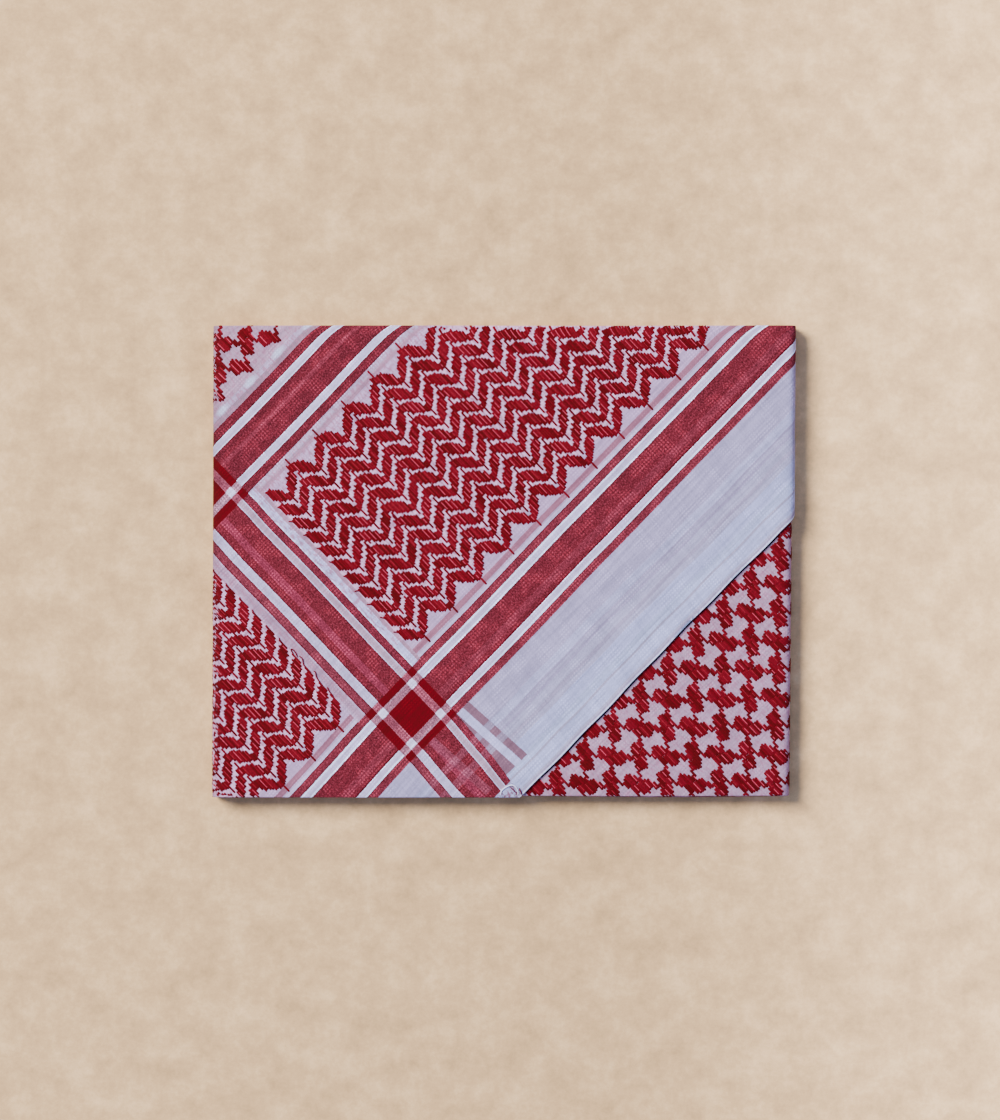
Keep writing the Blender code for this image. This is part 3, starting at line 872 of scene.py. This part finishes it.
def belt_place(number):
    """The placing function of one belt, whose length runs once round the packet's middle."""
    depth = (number + BELT_OUTSET) * BELT_PITCH
    turn = CORE_TURNS[number * len(CORE_TURNS) // BELTS]

    def place(along, across, height):
        centre_x, centre_z, radius = right_turn(across, 2 * LAYER)
        low_end = centre_z - radius
        along = np.mod(along, BELT_LENGTH)
        on_top = np.clip(along / CORE_ALONG, 0, 1)
        left = np.clip((along - CORE_ALONG) / CORE_ROUND, 0, 1)
        below = np.clip((along - CORE_ALONG - CORE_ROUND) / CORE_ALONG, 0, 1)
        right = np.clip((along - 2 * CORE_ALONG - CORE_ROUND) / CORE_ROUND, 0, 1)
        bottom = CORE_BOTTOM + (low_end - CORE_BOTTOM) * smooth_step(below, 1 - END_SHARE, 1)
        x_top = centre_x + (LEFT_TURN_X - centre_x) * on_top
        x_below = LEFT_TURN_X + (centre_x - LEFT_TURN_X) * below
        x = np.where(along < CORE_ALONG + CORE_ROUND, x_top, x_below)
        edge = HALF_WIDTH - fold_inset(turn, x) - BELT_SHIFTS[number] - BELT_RADIUS
        moved, height = fold_over(np.abs(across) - edge, height, BELT_RADIUS)
        y = np.sign(across) * (edge + moved)
        keep = 1 - (depth - height) / CORE_HALF
        top_middle = centre_z + (CORE_MIDDLE - centre_z) * smooth_step(on_top, 0, END_SHARE)
        z = top_middle + (CORE_TOP - top_middle) * keep
        arc = left * math.pi
        z = np.where(left > 0, CORE_MIDDLE + CORE_HALF * keep * np.cos(arc), z)
        x = x - np.where(left > 0, CORE_HALF * keep * np.sin(arc), 0.0)
        below_middle = (CORE_TOP + bottom) / 2
        z = np.where(below > 0, below_middle + (bottom - below_middle) * keep, z)
        arc = (1 - right) * math.pi
        z = np.where(right > 0, centre_z + radius * keep * np.cos(arc), z)
        x = x + np.where(right > 0, radius * keep * np.sin(arc), 0.0)
        x, y, z = settle(x, y, z)
        return np.stack([x, y, z], axis=-1) * MM

    return place


def belt_map(number):
    """The map of one belt, set on its own stretch of the weave."""
    shift = BELT_MAP_STEP * number

    def belt_weave(along, across):
        u = (along + across) * math.sqrt(0.5) + shift
        v = (along - across) * math.sqrt(0.5) - shift
        return u + BELT_IN_WEAVE[0], v + BELT_IN_WEAVE[1]

    return belt_weave


# The same cotton where only folded edges show: its checks are seen as short dashes of red.
folded_cotton, tree, shader = new_material("folded jacquard cotton", 0.9)
weave = add_node(tree, "UVMap", uv_map="weave")
dashes = add_node(tree, "TexVoronoi", weave, voronoi_dimensions="2D", Scale=1 / (12.5 * MM),
                  Randomness=0.35)
mixture = add_node(
    tree, "ValToRGB", dashes.outputs["Distance"],
    stops=[(0.0, RED_ON_RED), (0.42, WIDE_RED), (0.46, PALE_PINK), (1.0, WHITE)])
tree.links.new(mixture.outputs["Color"], shader.inputs["Base Color"])

for number in range(BELTS):
    bm = flat_sheet(
        stops((0.0, CORE_ALONG, 8.0), (CORE_ALONG, CORE_ALONG + CORE_ROUND, 1.5),
              (CORE_ALONG + CORE_ROUND, 2 * CORE_ALONG + CORE_ROUND, 8.0),
              (2 * CORE_ALONG + CORE_ROUND, BELT_LENGTH, 1.5)),
        both_sides(19.0, (-132.0, -129.9, 1.0), (-129.9, -126.9, 0.3), (-126.9, -114.0, 3.0)))
    belt, size, area = finish_sheet(
        f"folded_edge_{number + 1}", bm, {"weave": belt_map(number)}, belt_place(number),
        folded_cotton, BELT_PLY)
    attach(belt, "root")
    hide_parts("hidden_folds")


# ---------------------------------------------------------------------------------------------
# The zigzags between the bands: red weft yarns floated over the white ground, every thread set
# a step higher or lower than the last.  Each float is a short yarn lying on the cloth.
# ---------------------------------------------------------------------------------------------
FLOAT_HEIGHT = 0.35
SUNK_EDGE = 0.12
# From a float's middle to its ends: how far in its rings stand, how wide they are and how high.
RING_INSETS = np.array([1.35, 1.35, 0.45, 0.0])
RING_WIDTHS = np.array([1.04, 1.04, 1.04, 0.5])
RING_HEIGHTS = np.array([1.0, 1.0, 0.8, 0.1])
RING_LIFTS = np.array([0.02, 0.02, 0.02, -0.02])
RIDGE_SIDE = 0.42
# Shares of every second yarn that carry the bright and the dull painted highlight.
GLINT_SHARES = (0.4, 0.35)
# The thread pitch, how much longer than its span a float shows, and how far apart its teeth end.
ZIGZAG_FLOATS = (THREAD, 0.52, 0.7)

# Red-dyed two-ply cotton yarn: three dye lots, so that neighbouring threads differ a little,
# and two painted highlights for a thin light line along one side of some yarns, duller and
# brighter.
red_yarns = []
for lot, hex_colour in (("deep", "#4E0006"), ("middle", "#5A010B"), ("worn", "#640414"),
                        ("dull painted highlight", "#88182A"), ("bright painted highlight", "#C0405A")):
    yarn, tree, shader = new_material(f"red cotton yarn {lot}", 0.85)
    weave = add_node(tree, "UVMap", uv_map="weave")
    fuzz = add_node(tree, "TexNoise", weave, Scale=1 / (1.1 * MM), Detail=2.0, Roughness=0.7)
    shade = add_node(tree, "MapRange", fuzz, 0.3, 0.7, 0.7, 1.35)
    # Painted shade at the packet's left end, as on the cloth.
    shade = add_node(tree, "Math MULTIPLY", shade, painted_end_shade(tree))
    tinted = add_node(tree, "VectorMath SCALE", linear(hex_colour)[:3], shade)
    tree.links.new(tinted.outputs["Vector"], shader.inputs["Base Color"])
    red_yarns.append(yarn)


def yarn_piece(name, points, faces, pairs, materials):
    """Make one piece of many yarns, whose pairs are its points' places on the weave."""
    mesh = bpy.data.meshes.new(name)
    mesh.from_pydata(points, [], faces)
    corners = np.asarray(faces).ravel()
    mesh.uv_layers.new(name="weave").data.foreach_set("uv", (pairs[corners] * MM).ravel())
    for material in materials:
        mesh.materials.append(material)
    mesh.shade_smooth()
    piece = add_object(name, mesh)
    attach(piece, "root")
    return mesh


def yarn_floats(name, spans, kind, to_flat, place, seed):
    """Lay one rounded yarn along T for each span (s, start, end), all as one joined mesh.

    The yarns go down into the cloth by turns a little sooner and later, so their ends form teeth.
    Of every second yarn many carry a painted highlight along one side of their middle, a thin
    light line, in the last two of the red yarns' materials.
    """
    rng = np.random.default_rng(seed)
    pitch, longer, teeth = kind
    spans = np.asarray(spans, dtype=float)
    count = len(spans)
    template = bmesh.new()
    bmesh.ops.create_grid(template, x_segments=2, y_segments=6, size=1.0)
    template.verts.index_update()
    corners = np.array([corner.co for corner in template.verts])
    faces = np.array([[corner.index for corner in face.verts] for face in template.faces])
    template.free()
    side, station = corners[:, 0], np.round(corners[:, 1] * 3).astype(int)
    ring = np.abs(station)
    odd = np.round(spans[:, :1] / pitch) % 2
    middle = (spans[:, 1] + spans[:, 2])[:, None] / 2
    half = (spans[:, 2] - spans[:, 1])[:, None] / 2 + rng.normal(longer, 0.2, (count, 1))
    half = np.maximum(half + teeth * (odd - 0.5), 0.5)
    reach = np.sign(station) * np.maximum(half - RING_INSETS[ring], half * 0.3 * ring / 3)
    leaning = np.where(np.abs(side) < 0.5, RIDGE_SIDE, side)
    s = spans[:, :1] + leaning * pitch / 2 * RING_WIDTHS[ring]
    t = middle + reach + rng.normal(0, 0.18, (count, 1))
    crown = FLOAT_HEIGHT * rng.uniform(0.75, 1.0, (count, 1)) * RING_HEIGHTS[ring]
    height = np.where(np.abs(side) > 0.5, SUNK_EDGE * crown, crown) + RING_LIFTS[ring]
    all_faces = (faces[None] + (np.arange(count) * len(corners))[:, None, None]).reshape(-1, 4)
    points = place(*to_flat(s.ravel(), t.ravel()), height.ravel())
    pairs = np.stack([s.ravel(), t.ravel()], axis=-1)
    mesh = yarn_piece(name, points, all_faces, pairs, red_yarns)
    # Painted highlights: a thin light line on one side of the middle of some yarns.
    painted_glint_faces = (side[faces].mean(axis=1) > 0) & (np.abs(station[faces].mean(axis=1)) < 1)
    duller = len(red_yarns) - 2
    tone = np.repeat(rng.integers(0, duller, count)[:, None], len(faces), axis=1)
    chance = rng.random((count, 1)) + odd
    tone[(chance < sum(GLINT_SHARES)) & painted_glint_faces] = duller
    tone[(chance < GLINT_SHARES[0]) & painted_glint_faces] = duller + 1
    mesh.polygons.foreach_set("material_index", tone.ravel())


# One zigzag, thread by thread: where the float starts and ends, counted down from the row's top.
ZIGZAG = (
    (-3.2, 4.1), (0.2, 6.6), (0.9, 7.8), (1.1, 8.5), (1.6, 9.2), (2.6, 10.4), (3.8, 11.3),
    (4.9, 11.8), (6.5, 12.3), (8.8, 12.9), (9.7, 16.0), (7.3, 12.6), (6.0, 11.3), (4.4, 11.1),
    (3.8, 10.3), (3.3, 9.3), (2.3, 8.5), (2.0, 7.7), (0.0, 6.3), (-0.4, 4.5),
)
REPEAT = len(ZIGZAG)
ZIGZAG_ROWS = 11
ZIGZAG_PITCH = 10.445
LAST_ROW = -38.95
RIGHT_PEAK = 45.2
LEFT_TROUGH = -34.1
BLOCK_START = 24.6
BLOCK_END = -24.2
THREADS_LAID = range(-220, 320)
# How much of a float is left this far inside its block, and how far the rows wander along S.
EDGE_SHORTENING = ((0.0, 0.55), (1.1, 0.82), (2.2, 1.0))
ROW_WAVES = ((-24, 0.0), (165, -0.05), (185, -0.5), (225, -0.85))


def on_free_end(s, t, border):
    """Whether a place on the weave lies on the free end's cloth, a border inside its hem."""
    along, across = flat_from_weave(np.array([s]), np.array([t]))
    _, beyond = hem_frame(along, across)
    return beyond[0] < -border and abs(across[0]) < HALF_WIDTH + 1.0 and along[0] > LEFT_SEAM_ALONG


spans = []
tails = []
rng = np.random.default_rng(21)
for row in range(ZIGZAG_ROWS):
    top = LAST_ROW - ZIGZAG_PITCH * row
    for number in THREADS_LAID:
        right, left = RIGHT_PEAK + number * THREAD, LEFT_TROUGH + number * THREAD
        for s, thread, inside in ((right, number, right - BLOCK_START),
                                  (left, number + REPEAT // 2, BLOCK_END - left)):
            start, end = (top + place * THREAD for place in ZIGZAG[thread % REPEAT])
            half = (end - start) / 2 * along_table(inside, EDGE_SHORTENING)
            middle = (start + end) / 2 + along_table(s, ROW_WAVES)
            if inside < 0 or not on_free_end(s, middle, HEM_WIDTH):
                continue
            spans.append((s, middle - half, middle + half))
            if inside < THREAD:
                out = -1 if s > 0 else 0.4
                bend, lift = rng.uniform(0.4, 1.3, 2)
                end = middle - half
                tails.append([(s + out * 1.9 * bend, end - 1.8 * lift, 0.1),
                              (s + out * 1.2 * bend, end - 1.2 * lift, 0.25),
                              (s + out * 0.5, end - 0.2, 0.3), (s, end + 1.6, 0.3)])
yarn_floats("zigzag_yarns", spans, ZIGZAG_FLOATS, flat_from_weave, place_free_end, 11)

YARN_SIDES = 5
LOOSE_RADIUS = 0.38
DRAWN_RADIUS = 0.42


def loose_yarns(name, paths, radius, material):
    """Lay a thin round yarn along each path of (s, t, height) places, as one joined mesh."""
    points, faces = [], []
    angles = np.linspace(0.0, math.tau, YARN_SIDES, endpoint=False)
    for path in paths:
        path = np.array(path)
        steps = np.linspace(0, len(path) - 1, 2 * len(path) - 1)
        places = np.stack([np.interp(steps, range(len(path)), part) for part in path.T], axis=-1)
        places[1:-1] = places[1:-1] / 2 + (places[:-2] + places[2:]) / 4
        course = np.gradient(places[:, :2], axis=0)
        course = course / np.linalg.norm(course, axis=1, keepdims=True)
        thin = radius * np.where(np.arange(len(places)) % (len(places) - 1) == 0, 0.4, 1.0)
        for number, ((s, t, height), (ds, dt), size) in enumerate(zip(places, course, thin)):
            first = len(points)
            points.extend((s - dt * size * math.cos(angle), t + ds * size * math.cos(angle),
                           height + size * math.sin(angle)) for angle in angles)
            if number:
                faces.extend((first + k - YARN_SIDES, first + (k + 1) % YARN_SIDES - YARN_SIDES,
                              first + (k + 1) % YARN_SIDES, first + k) for k in range(YARN_SIDES))
    s, t, height = np.array(points).T
    yarn_piece(name, place_free_end(*flat_from_weave(s, t), height), faces,
               np.stack([s, t], axis=-1), [material])


# Loose ends of the pattern yarn: a short one at the start of each zigzag, and the longer curls
# of the last turns, which lie along the front block's side instead of the short ones there.
tails = [tail for tail in tails if not (tail[0][0] < 0 and -76 < tail[0][1] < -36)]
tails += [
    [(-24.9, -69.0, 0.2), (-24.6, -71.8, 0.3), (-23.7, -72.6, 0.3), (-23.2, -70.8, 0.3),
     (-23.6, -68.4, 0.3), (-24.4, -66.6, 0.2)],
    [(-23.4, -66.6, 0.2), (-22.8, -65.0, 0.3), (-23.4, -63.2, 0.3), (-24.9, -61.7, 0.3),
     (-24.8, -59.0, 0.3), (-24.7, -55.6, 0.2)],
    [(-23.2, -55.2, 0.2), (-22.5, -54.0, 0.3), (-24.0, -52.4, 0.3), (-24.7, -49.8, 0.3),
     (-25.1, -44.8, 0.2)],
    [(-23.7, -43.8, 0.2), (-24.0, -42.6, 0.3), (-24.6, -41.1, 0.3), (-24.6, -37.4, 0.2)],
]
for s, t in ((45.2, -92.3), (45.2, -81.9), (45.2, -71.6), (66.9, -82.6), (67.3, -61.8),
             (111.5, -61.6)):
    tails.append([(s - 0.5, t + 2.2, 0.4), (s - 0.6, t - 0.4, 0.6), (s, t - 1.4, 0.7),
                  (s + 0.6, t - 0.4, 0.6), (s + 0.5, t + 2.2, 0.4)])
tails += [[(15.2, 66.6, 0.4), (15.6, 68.7, 0.6), (15.8, 71.2, 0.4)],
          [(19.1, 70.2, 0.4), (18.6, 72.2, 0.6), (17.7, 74.3, 0.4)]]
loose_yarns("loose_yarns", tails, LOOSE_RADIUS, red_yarns[2])

# A white yarn drawn up by the sewing where the bands across go under the hem.
white_yarn, _, shader = new_material("undyed cotton yarn", 0.9)
shader.inputs["Base Color"].default_value = linear("#CFCFEA")
drawn_up = [(7.3, 66.0, -0.1), (9.3, 64.5, 0.25), (11.7, 64.6, 0.3), (13.2, 65.0, 0.3),
            (15.2, 65.5, 0.3), (17.1, 66.7, 0.3), (17.9, 68.3, 0.3), (17.9, 69.9, 0.3),
            (17.3, 71.6, 0.2), (15.7, 72.9, -0.1)]
loose_yarns("drawn_up_yarn", [drawn_up], DRAWN_RADIUS, white_yarn)


# They show on the front right corner, on the back left corner and all over the underside.
# ---------------------------------------------------------------------------------------------
# The thread pitch, how much longer than its span a float shows, and its teeth, as above.
CHECK_FLOATS = (1.367, 0.6, 0.1)
# Each float of a motif: which thread it lies on, and where it starts and ends.
FALLING_CHECK = (
    (-5, -7.5, -5.5), (-4, -6.3, -2.7), (-3, -7.3, -2.0), (-3, -1.8, 3.2), (-2, -8.1, -1.8),
    (-2, -1.6, 3.4), (-1, -8.4, -1.1), (-1, -0.9, 5.9), (0, -7.4, -0.7), (0, -0.5, 6.9),
    (1, -5.0, -0.1), (1, 0.1, 7.4), (2, -2.6, 0.6), (2, 0.8, 7.3), (3, -5.0, -1.6),
    (3, 1.1, 6.2), (4, 1.7, 8.8),
)
RISING_CHECK = (
    (-4, 2.3, 5.8), (-3, -4.9, -1.2), (-3, 0.6, 6.3), (-2, -2.3, 1.4), (-2, 1.6, 7.2),
    (-1, -4.8, 0.6), (-1, 0.8, 7.7), (0, -6.9, 0.0), (0, 0.2, 6.4), (1, -7.0, -1.0),
    (1, -0.8, 4.4), (2, -7.0, -1.8), (2, -1.6, 1.9), (3, -5.9, -2.1), (3, -1.9, 2.9),
    (4, -6.9, -2.2), (5, -6.9, -5.0),
)
BORDER_CHECK = (
    (-5, -7.5, -5.5), (-4, -6.3, -0.9), (-3, -7.3, -0.4), (-2, -8.1, -0.4), (-1, -8.4, 0.0),
    (0, -7.4, 1.8), (1, -5.0, 3.2), (2, -2.4, 3.2), (3, -5.0, -0.2),
)
CHECK_STEP = (21.87, 21.05)
CLEAR_OF_BAND = 24.0


def check_spans(origin, s_range, t_range, shows,
                charts=((FALLING_CHECK, 0.0), (RISING_CHECK, 0.5))):
    """Float spans of every check motif whose floats show, in the weave's own millimetres."""
    found = []
    columns, rows = (range(math.floor(low / step), math.ceil(high / step) + 1)
                     for (low, high), step in zip((s_range, t_range), CHECK_STEP))
    for column in columns:
        for row in rows:
            for chart, shift in charts:
                s0 = origin[0] + (column + shift) * CHECK_STEP[0]
                t0 = origin[1] + (row + shift) * CHECK_STEP[1]
                found.extend((s0 + thread * CHECK_FLOATS[0], t0 + start, t0 + end)
                             for thread, start, end in chart)
    found = np.array(found)
    return found[shows(found[:, 0], (found[:, 1] + found[:, 2]) / 2)]


def shows_on_field(s, t):
    along, across = flat_from_field(s, t)
    _, beyond = hem_frame(along, across)
    return (beyond > -6) & (np.abs(across) < HALF_WIDTH + 0.5) & (along < 172.0) & (across < 45)


spans = check_spans((0.3, -0.4), (-240, 240), (-160, 160), shows_on_field)
yarn_floats("field_check_yarns", spans, CHECK_FLOATS, flat_from_field, place_field, 12)

CORNER_MOTIF = (63.7, -197.35)


def shows_on_corner(s, t):
    along, across = flat_from_weave(s, t)
    on_strip = (along > LEFT_SEAM_ALONG) & (along < 0)
    return on_strip & (np.abs(across) < HALF_WIDTH + 0.5) & (np.abs(s) > CLEAR_OF_BAND)


# The row next to the border is cut short.
spans = np.vstack([
    check_spans(CORNER_MOTIF, (-300, 300), (-150, -CHECK_STEP[1]), shows_on_corner),
    check_spans(CORNER_MOTIF, (-300, 300), (0, 0), shows_on_corner, ((BORDER_CHECK, 0.0),))])
yarn_floats("corner_check_yarns", spans, CHECK_FLOATS, flat_from_weave, place_free_end, 13)


def shows_underneath(s, t):
    along, across = flat_from_weave(s, t)
    x = LEFT_TURN_X + (LEFT_SEAM_ALONG - along)
    tip_edge = TIP_TURN_X - (HEM_SLOPE * (across - TIP_START_Y) - HALF_TURN)
    on_strip = (x > LEFT_TURN_X) & (x < np.minimum(tip_edge - 1.0, 151.5))
    return on_strip & (np.abs(across) < HALF_WIDTH + 0.5) & (np.abs(s) > CLEAR_OF_BAND)


spans = check_spans(CORNER_MOTIF, (-560, 300), (-420, 60), shows_underneath)
yarn_floats("underside_check_yarns", spans, CHECK_FLOATS, flat_from_weave, place_underside, 14)
